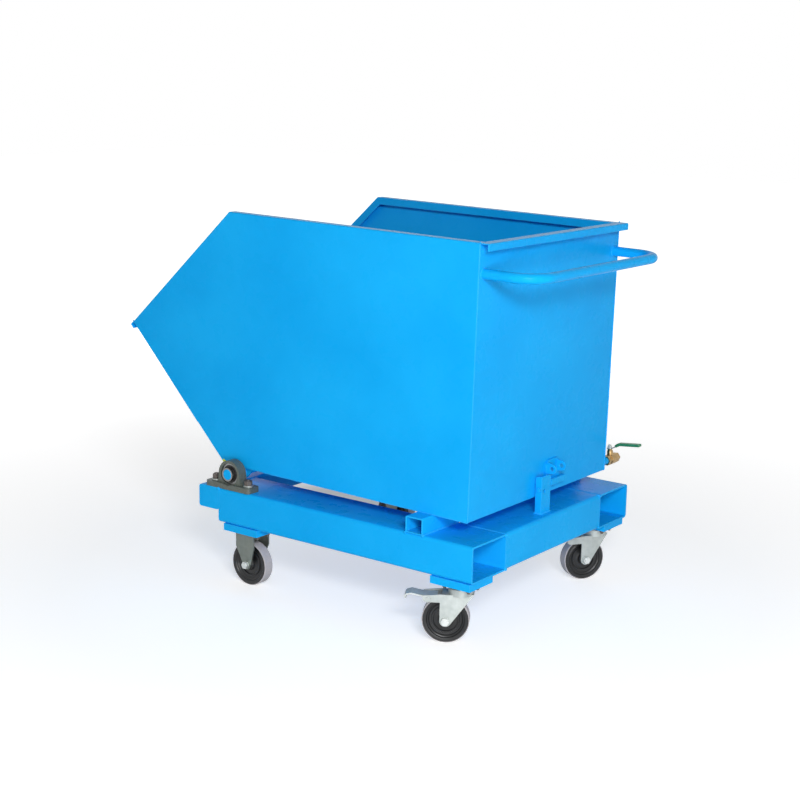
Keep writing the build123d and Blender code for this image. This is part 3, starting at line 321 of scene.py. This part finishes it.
# Pillow blocks: grey iron castings with a ball bearing insert, bolted down through the tops of the tubes.
# The castings are dip painted dark, and a grease nipple with a yellow cap looks to the front.
housing_edge = 2.4 * mm
ring_edge = 0.5 * mm
washer_edge = 0.5 * mm
bolt_edge = 0.8 * mm

# Painted casting: sand texture under thin dark paint, satin, with paler high spots where it was rubbed.
casting, tree, shader, coords = new_material("painted_grey_iron_casting")
sand = 2.2 * mm  # real casting sand leaves grains of about 0.5 mm; drawn coarser so that they show
sand_noise = add_node(tree, "ShaderNodeTexNoise", {"Vector": coords, "Scale": 1 / sand, "Detail": 3.0})
sand_tone = add_node(tree, "ShaderNodeMapRange", {"Value": sand_noise, "From Min": 0.3, "From Max": 0.7})
sand_colour = add_node(tree, "ShaderNodeMix", {
    "Factor": sand_tone, "A": linear("#474e48"), "B": linear("#666e66")}, data_type="RGBA")
sand_bump = add_node(tree, "ShaderNodeBump", {"Height": sand_noise, "Strength": 0.35, "Distance": 0.5 * mm})
feed(shader, {"Base Color": sand_colour, "Roughness": 0.4, "Normal": sand_bump})
break_edges(casting, housing_edge, "bearing_housing_left", "bearing_housing_right")

# Ground bearing steel: bright, with turning lines round the shaft and a little oil bloom.
ground, tree, shader, coords = new_material("ground_bearing_steel")
turning = 0.9 * mm  # for each radian of the wave, which is coarser than real turning lines so that it shows
wave_radians = 20  # in one unit of the wave pattern at scale 1
lines = add_node(tree, "ShaderNodeTexWave", {
    "Vector": coords, "Scale": 1 / (wave_radians * turning), "Distortion": 1.5, "Detail": 2.0},
    bands_direction="Y")
bloom = add_node(tree, "ShaderNodeMapRange", {"Value": lines, "To Min": 0.24, "To Max": 0.4})
feed(shader, {"Base Color": linear("#8b8c8c"), "Metallic": 1.0, "Roughness": bloom})
break_edges(ground, ring_edge, "bearing_inner_rings", "bearing_outer_rings")


def finish_with(material, *names):
    """Gives CAD pieces that keep their own shape a finished material."""
    for name in names:
        for place in frame["nodes"][name].material_slots:
            place.material = material


finish_with(ground, "bearing_balls", "swivel_balls")


def patchy_colour(tree, shader, coords, patch, detail, dark, pale):
    """Gives a shader two shades in soft patches of a size, and gives back the noise that lays them out."""
    noise = add_node(tree, "ShaderNodeTexNoise", {"Vector": coords, "Scale": 1 / patch, "Detail": detail})
    shade = add_node(tree, "ShaderNodeMix", {
        "Factor": noise, "A": linear(dark), "B": linear(pale)}, data_type="RGBA")
    feed(shader, {"Base Color": shade})
    return noise


# Nitrile rubber: black, matt, faintly dusty.
nitrile, tree, shader, coords = new_material("nitrile_rubber")
dust_patch = 6 * mm
patchy_colour(tree, shader, coords, dust_patch, 3.0, "#121213", "#262627")
feed(shader, {"Roughness": 0.6})
finish_with(nitrile, "bearing_seals")


def zinc_plate(name, dark, pale, metallic):
    """Zinc plate on pressed steel: metal with cloudy patches from the bath and fine rolling lines, which
    make its highlights broad and a little streaky. The film over the zinc scatters what isn't metallic."""
    material, tree, shader, coords = new_material(name)
    cloud_size = 14 * mm
    roll_line = 1.6 * mm  # real lines are a few tenths apart; drawn coarser so that they show
    patchy_colour(tree, shader, coords, cloud_size, 4.0, dark, pale)
    stretched = add_node(tree, "ShaderNodeMapping", {"Vector": coords, "Scale": (1.0, 1.0, 0.08)})
    rolled = add_node(tree, "ShaderNodeTexNoise", {"Vector": stretched, "Scale": 1 / roll_line})
    rolled_rough = add_node(tree, "ShaderNodeMapRange", {
        "Value": rolled, "From Min": 0.3, "From Max": 0.7, "To Min": 0.42, "To Max": 0.56})
    rolled_bump = add_node(tree, "ShaderNodeBump", {
        "Height": rolled, "Strength": 0.08, "Distance": 0.2 * mm})
    feed(shader, {"Metallic": metallic, "Roughness": rolled_rough, "Normal": rolled_bump})
    return material


zinc = zinc_plate("zinc_plated_steel", "#a0a8a6", "#c4c9c6", 0.7)
break_edges(zinc, washer_edge, "bearing_washers")

# Oil-blackened steel: the bolts and nuts are brownish black from heat treatment, with a dull, patchy shine.
black_steel, tree, shader, coords = new_material("oil_blackened_steel")
scale_patch = 5 * mm
patchy_colour(tree, shader, coords, scale_patch, 4.0, "#4a4441", "#7d7672")
feed(shader, {"Metallic": 0.85, "Roughness": 0.42})
break_edges(black_steel, bolt_edge, "bearing_bolts", "bearing_nuts")

# Polyethylene: the nipple's cap is soft yellow-green plastic, waxy and a little uneven in colour.
cap_plastic, tree, shader, coords = new_material("yellow_polyethylene")
cap_patch = 3 * mm
patchy_colour(tree, shader, coords, cap_patch, 2.0, "#b9c62e", "#d3dc4c")
feed(shader, {"Roughness": 0.45})
finish_with(cap_plastic, "grease_nipples")

# Casters: pressed steel forks, each on a plate held by four studs and nuts. The front pair is rigid, and
# its forks take a darker copy of the zinc, which paints shade on them. The rear pair swivels on balls
# between the plate and the yoke's cup, round a riveted king pin. The axle bolts and nuts are turned and
# plated on their own, and take a paler copy of the zinc, which paints highlights on them.
press_edge = 1.1 * mm
# Painted shade: a darker copy of the zinc for the front forks.
shaded_zinc = zinc_plate("shaded_zinc_on_steel", "#6c736d", "#868c86", 0.8)
break_edges(shaded_zinc, press_edge, "front_fork_left", "front_fork_right")
break_edges(zinc, press_edge, "swivel_yoke_left", "swivel_yoke_right", "swivel_top_plates")
finish_with(zinc, "king_pins")
# Painted highlight: a paler copy of the zinc for the axles and the valve lever's nut.
highlight_zinc = zinc_plate("highlight_zinc_on_steel", "#c6cbc9", "#e4e7e5", 0.6)
break_edges(highlight_zinc, press_edge, "front_axles", "rear_axle_left", "rear_axle_right")
break_edges(black_steel, bolt_edge, "caster_bolts")

# Brake: a pressed pedal on a riveted pin through the left yoke's wings, with a shoe over the wheel. The
# pedal takes a paler copy of the zinc that mirrors less, which paints light on it under the pocket.
# Painted light: a paler, less mirroring copy of the zinc lifts the pedal.
lightened_zinc = zinc_plate("lightened_zinc_on_steel", "#b1b8b6", "#d2d6d3", 0.35)
break_edges(lightened_zinc, press_edge, "brake_pedal")
break_edges(zinc, press_edge, "brake_pin")

# Wheels: a black moulded core with rings in its faces, and a grey rubber tread bonded around it.
# Each turns on its axle between the legs of its fork.
wheel_steps = 96

# Moulded polypropylene: black and satin, with cloudy flow marks in its shade and its shine.
moulded, tree, shader, coords = new_material("black_polypropylene")
flow_mark = 18 * mm
flow = patchy_colour(tree, shader, coords, flow_mark, 4.0, "#0e0f10", "#1a1b1d")
flow_rough = add_node(tree, "ShaderNodeMapRange", {"Value": flow, "To Min": 0.27, "To Max": 0.44})
feed(shader, {"Roughness": flow_rough})

# Grey tread rubber: matt, dusty and lightly scuffed from rolling.
tread_rubber, tree, shader, coords = new_material("grey_tread_rubber")
scuff_size = 5 * mm
scuff = patchy_colour(tree, shader, coords, scuff_size, 5.0, "#aaa5a8", "#c6c2c4")
scuff_bump = add_node(tree, "ShaderNodeBump", {"Height": scuff, "Strength": 0.3, "Distance": 0.3 * mm})
feed(shader, {"Roughness": 0.75, "Normal": scuff_bump})

# One half of the core's section, as radius and distance from the middle, in millimetres.
hub = [(8.05, 21), (15, 21), (16.5, 19.5), (19, 11)]
ringed_web = [(26, 9), (31, 9), (32.5, 12), (36, 12), (37.5, 9), (42.5, 9.5)]
stepped_rim = [(45, 13), (47.5, 14), (49, 13.2), (50.5, 15.2), (54, 16), (60, 16)]
half_section = [(radius * mm, along * mm) for radius, along in hub + ringed_web + stepped_rim]
core_section = half_section + [(radius, -along) for radius, along in reversed(half_section)]


def lathe(name, section, centre, axis):
    """A closed ring turned about an axis, from a closed section of (radius, distance along the axis)."""
    across = Vector((0, 0, 1))
    third = axis.cross(across)
    shape = bmesh.new()
    rings = []
    for step in range(wheel_steps):
        angle = 2 * pi * step / wheel_steps
        out = across * cos(angle) + third * sin(angle)
        rings.append([shape.verts.new(centre + out * radius + axis * along) for radius, along in section])
    for one, after in zip(rings, rings[1:] + rings[:1]):
        join_sections(shape, one, after)
    bmesh.ops.recalc_face_normals(shape, faces=shape.faces)
    return mesh_of(shape, name)


for joint in frame["joints"]:
    if joint["name"].startswith("spin_"):
        place = joint["name"].removeprefix("spin_")
        core_node = "wheel_core_" + place
        core = lathe(core_node + "_finished", core_section, Vector(joint["pos_m"]), Vector(joint["axis"]))
        piece = add_piece(core.name, core, moulded, "wheel_" + place)
        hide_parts(core_node)
        finish_with(tread_rubber, "wheel_tread_" + place)

# Hopper: five panels of 3 mm sheet, welded into a box with a sloping front. The open edges are folded
# in on the sides, back at the rim and out at the lip, and the whole is sprayed like the frame.
hopper_panels = (
    "hopper_side_left", "hopper_side_right", "hopper_floor", "hopper_front_panel", "hopper_back_panel",
)
sheet_edge = 0.7 * mm
break_edges(enamel, sheet_edge, *hopper_panels)

# Pivot shaft: a round steel bar across the cart that turns in the pillow blocks when the hopper is tipped.
# Saddle plates hold it under the hopper, and both are sprayed with it.
break_edges(enamel, sheet_edge, "pivot_shaft", "shaft_saddles")

# Push handle: one bent steel tube, for pushing the cart and for tipping the hopper.
# Its ends are welded square to the back panel, and it is sprayed with the hopper.
handle_edge = 0.6 * mm
break_edges(enamel, handle_edge, "push_handle")

# Latch: a steel plate with two drilled ears, and a bar below them, where the hopper is pinned to the post.
# All are welded to the back panel and sprayed with it.
break_edges(enamel, sheet_edge, "latch_plate", "latch_ears", "latch_bar")

# Hopper welds: fine runs along the outer corners, and rings where the handle and the drain meet the sheet.
# The runs stop short of the pillow blocks, where the corners are welded from inside and turn close by.
corner_bead = 1.8 * mm
bearing_reach = 150 * mm
ring_bead = 2.6 * mm
ring_steps = 24
handle_radius = 13.5 * mm


def corner(name, direction):
    """The point of a CAD piece that lies furthest in a direction."""
    return max((v.co for v in frame["nodes"][name].data.vertices), key=Vector(direction).dot).copy()


def ring(bead, centre, axis, radius):
    """A closed round seam about an axis, with its bead radius."""
    across = axis.orthogonal().normalized()
    turns = [Matrix.Rotation(2 * pi * i / ring_steps, 3, axis) for i in range(ring_steps)]
    return [centre + turn @ across * radius for turn in turns], bead, True


hopper_seams = []
handle_low, handle_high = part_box("push_handle")
for side, sign in sides:
    panel = "hopper_side_" + side
    outward = 0.2 * sign
    rear_top = corner(panel, (1, outward, 1))
    rear_low = corner(panel, (1, outward, -1))
    front_low = corner(panel, (-0.3, outward, -1))
    lip = corner(panel, (-1, outward, 0))
    floor_end = front_low + (rear_low - front_low).normalized() * bearing_reach
    front_start = front_low + (lip - front_low).normalized() * bearing_reach
    hopper_seams.append(run(corner_bead, rear_top, rear_low, floor_end))
    hopper_seams.append(run(corner_bead, front_start, lip))
    handle_y = handle_low.y + handle_radius if sign < 0 else handle_high.y - handle_radius
    handle_end = Vector((handle_low.x, handle_y, handle_high.z - handle_radius))
    hopper_seams.append(ring(ring_bead, handle_end, Vector((1, 0, 0)), handle_radius))
pipe_low, pipe_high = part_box("drain_nipple")
pipe_middle = (pipe_low + pipe_high) / 2
pipe_end = Vector((pipe_middle.x, pipe_low.y, pipe_middle.z))
pipe_radius = (pipe_high.z - pipe_low.z) / 2
hopper_seams.append(ring(ring_bead, pipe_end, Vector((0, 1, 0)), pipe_radius))
weld("hopper_welds", hopper_seams, "hopper")

# Drain valve: a half-inch brass ball valve on a painted pipe nipple, with a plated ball and a steel lever
# in a dipped green sleeve. It hangs low on the right side and drains the coolant.
valve_edge = 0.7 * mm
lever_edge = valve_edge / 2
break_edges(enamel, valve_edge, "drain_nipple")

# Brass: forged and turned, warm yellow, with patches of brownish tarnish that are duller than the rest.
brass, tree, shader, coords = new_material("forged_brass")
tarnish_patch = 9 * mm
tarnish = patchy_colour(tree, shader, coords, tarnish_patch, 4.0, "#84683f", "#c6ab7b")
tarnish_rough = add_node(tree, "ShaderNodeMapRange", {"Value": tarnish, "To Min": 0.48, "To Max": 0.26})
feed(shader, {"Metallic": 1.0, "Roughness": tarnish_rough})
break_edges(brass, valve_edge, "valve_body", "valve_end_cap", "valve_gland_nut")
break_edges(zinc, lever_edge, "valve_stem", "valve_lever")
# Painted highlight: the lever's nut takes the paler copy of the zinc.
break_edges(highlight_zinc, lever_edge, "lever_nut")
finish_with(zinc, "valve_ball")
finish_with(tread_rubber, "valve_seats")

# Dipped vinyl: dark green, soft sheen, slightly uneven in thickness.
vinyl, tree, shader, coords = new_material("dipped_green_vinyl")
dip_patch = 7 * mm
dip = patchy_colour(tree, shader, coords, dip_patch, 2.0, "#1f6a46", "#2f8a5c")
dip_bump = add_node(tree, "ShaderNodeBump", {"Height": dip, "Strength": 0.2, "Distance": 0.4 * mm})
feed(shader, {"Roughness": 0.38, "Normal": dip_bump})
finish_with(vinyl, "lever_sleeve")

# Floor: a pale seamless sheet that shows white to the camera and keeps the cart's soft shadow. Its glow
# grows with the distance from the cart, where the lamps no longer reach it, and fades in a thin strip of
# the cart's shadow along its far side, which is seen through the slit under the hopper.
floor_half = 15.0
floor_glow = 0.55
lamps_reach = (1.0, 4.0)
shade_middle = (-0.65, 0.545, 0.0)
shade_half = (0.38, 0.075)
shade_core = 0.35
shade_glow = 0.4
corner_signs = ((-1, -1), (1, -1), (1, 1), (-1, 1))
floor_mesh = bpy.data.meshes.new("floor")
floor_mesh.from_pydata([(x * floor_half, y * floor_half, 0) for x, y in corner_signs], [], [(0, 1, 2, 3)])
floor = bpy.data.objects.new("floor", floor_mesh)
scene.collection.objects.link(floor)


def seen_or_mirrored(tree):
    """1 for rays from the camera or mirrored or bent by a surface, and 0 for the light that falls on it."""
    rays = add_node(tree, "ShaderNodeLightPath").node.outputs
    either = add_node(tree, "ShaderNodeMath", {
        0: rays["Is Camera Ray"], 1: rays["Is Glossy Ray"]}, operation="MAXIMUM")
    return add_node(tree, "ShaderNodeMath", {
        0: either, 1: rays["Is Transmission Ray"]}, operation="MAXIMUM")


# Backdrop paper: matt and nearly white, so that it takes the shadow softly.
paper, tree, shader, coords = new_material("white_backdrop_paper")
away = add_node(tree, "ShaderNodeVectorMath", {0: coords}, output="Value", operation="LENGTH")
glow = add_node(tree, "ShaderNodeMapRange", {
    "Value": away, "From Min": lamps_reach[0], "From Max": lamps_reach[1],
    "To Min": floor_glow, "To Max": 1.0})
beside = add_node(tree, "ShaderNodeVectorMath", {0: coords, 1: shade_middle}, operation="SUBTRACT")
beside = add_node(tree, "ShaderNodeVectorMath", {
    0: beside, 1: (1 / shade_half[0], 1 / shade_half[1], 0.0)}, operation="MULTIPLY")
shade_share = add_node(tree, "ShaderNodeVectorMath", {0: beside}, output="Value", operation="LENGTH")
open_floor = add_node(tree, "ShaderNodeMapRange", {
    "Value": shade_share, "From Min": shade_core, "To Min": shade_glow}, interpolation_type="SMOOTHSTEP")
glow = add_node(tree, "ShaderNodeMath", {0: glow, 1: open_floor}, operation="MULTIPLY")
glow = add_node(tree, "ShaderNodeMath", {0: glow, 1: seen_or_mirrored(tree)}, operation="MULTIPLY")
feed(shader, {
    "Base Color": linear("#e6e6e6"), "Roughness": 0.9,
    "Emission Color": linear("#ffffff"), "Emission Strength": glow})
floor_mesh.materials.append(paper)

# Light: a dim studio that looks white and is bright at the horizon, with a soft box high beside the camera,
# which reaches into the hopper and throws the handle's shadow down, a weaker one low down for the chassis,
# and a faint one behind the cart for the sides that face away, which isn't mirrored in the pockets' tops.
ceiling = 0.18
horizon = (0.05, 0.1)
world = bpy.data.worlds.new("studio")
world.use_nodes = True
scene.world = world
tree = world.node_tree
direction = add_node(tree, "ShaderNodeTexCoord", output="Generated")
upward = add_node(tree, "ShaderNodeSeparateXYZ", {"Vector": direction}, output="Z")
surround = add_node(tree, "ShaderNodeMapRange", {
    "Value": upward, "From Min": horizon[0], "From Max": horizon[1], "To Min": 1.0, "To Max": ceiling})
surround = add_node(tree, "ShaderNodeMath", {0: surround, 1: seen_or_mirrored(tree)}, operation="MAXIMUM")
feed(tree.nodes["Background"], {"Color": linear("#ffffff"), "Strength": surround})


def soft_box(name, place, target, width, height, power):
    """A rectangular lamp that looks at a target and that the camera doesn't see."""
    lamp = bpy.data.lights.new(name, "AREA")
    lamp.shape = "RECTANGLE"
    lamp.size = width
    lamp.size_y = height
    lamp.energy = power
    box = bpy.data.objects.new(name, lamp)
    box.location = place
    box.rotation_euler = (Vector(target) - Vector(place)).to_track_quat("-Z", "Y").to_euler()
    box.visible_camera = False
    scene.collection.objects.link(box)
    return box


soft_box("key_box", place=(3.2, -3.3, 2.5), target=(0.0, 0.0, 0.5), width=1.2, height=0.8, power=128)
soft_box("fill_box", place=(3.2, -3.3, 0.5), target=(0.0, 0.0, 0.3), width=1.7, height=0.8, power=57)
back_box = soft_box(
    "back_box", place=(-3.0, 3.2, 0.5), target=(0.0, 0.0, 0.5), width=1.7, height=0.8, power=28)
back_box.visible_glossy = False

# Camera: at the photograph's viewing angle, found from the cart's straight edges. It stands off the rear
# left corner at about the height of a person's chin, and leans by a degree.
camera_place = Vector((2.5932, -3.5734, 1.4911))
camera_azimuth = radians(36.588)
camera_pitch = radians(12.336)
camera_roll = radians(-1.042)
camera_lens = 71.335
camera = bpy.data.objects.new("camera", bpy.data.cameras.new("camera"))
camera.data.lens = camera_lens
ahead = Vector((
    -sin(camera_azimuth) * cos(camera_pitch), cos(camera_azimuth) * cos(camera_pitch), -sin(camera_pitch)))
level = Vector((cos(camera_azimuth), sin(camera_azimuth), 0))
down = ahead.cross(level)
right = level * cos(camera_roll) + down * sin(camera_roll)
below = down * cos(camera_roll) - level * sin(camera_roll)
camera_turn = Matrix((right, -below, -ahead)).transposed()
camera.matrix_world = Matrix.Translation(camera_place) @ camera_turn.to_4x4()
scene.collection.objects.link(camera)
scene.camera = camera
scene.view_settings.view_transform = "Standard"
